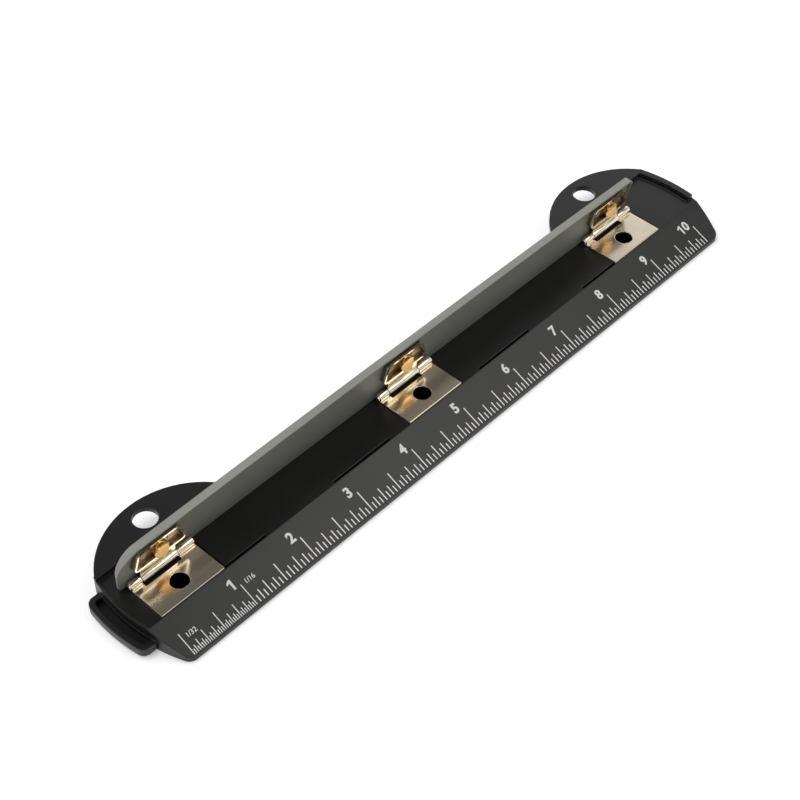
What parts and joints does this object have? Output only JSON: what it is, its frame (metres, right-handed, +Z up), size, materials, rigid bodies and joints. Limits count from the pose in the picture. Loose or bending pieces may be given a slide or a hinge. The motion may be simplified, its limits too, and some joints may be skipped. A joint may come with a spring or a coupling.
{
  "type": "ring binder hole punch with ruler",
  "caption": "Flat black ring-binder hole punch: ruler edge, sheet-metal lever with notched punches on hinged die plates, holed ears and a slide-out chip tray.",
  "frame": {"origin": "bottom centre of the bounding box of the whole part, with the lever open and the tray in", "axes": "+X along the ruler towards the rim end, away from the tray's pull; +Y from the ruler to the ears; +Z up"},
  "size_m": [0.2768, 0.0534, 0.0245],
  "materials": {
    "black_plastic": "satin, finely grained",
    "tray_plastic": "satin",
    "lever_paint": "warm grey satin paint",
    "plate_steel": "bright nickel plate",
    "pin_steel": "smooth steel",
    "punch_steel": "amber tinted hardened steel"
  },
  "bodies": {
    "base": {"base_body": "black_plastic", "die_plate_left": "plate_steel", "die_plate_middle": "plate_steel", "die_plate_right": "plate_steel", "hinge_pin_left": "pin_steel", "hinge_pin_middle": "pin_steel", "hinge_pin_right": "pin_steel"},
    "lever": {"lever_bar": "lever_paint", "punch_bracket_left": "plate_steel", "punch_bracket_middle": "plate_steel", "punch_bracket_right": "plate_steel", "punch_pin_left": "punch_steel", "punch_pin_middle": "punch_steel", "punch_pin_right": "punch_steel", "bracket_rivets_left": "pin_steel", "bracket_rivets_middle": "pin_steel", "bracket_rivets_right": "pin_steel"},
    "tray": {"chip_tray": "tray_plastic"}
  },
  "joints": [
    {"name": "lever_hinge", "type": "hinge", "parent": "base", "child": "lever", "pos_m": [0, 0.0021, 0.0093], "axis": [1, 0, 0], "range_deg": [-6, 89]},
    {"name": "tray_slide", "type": "slide", "parent": "base", "child": "tray", "axis": [-1, 0, 0], "range_m": [0, 0.12]}
  ]
}
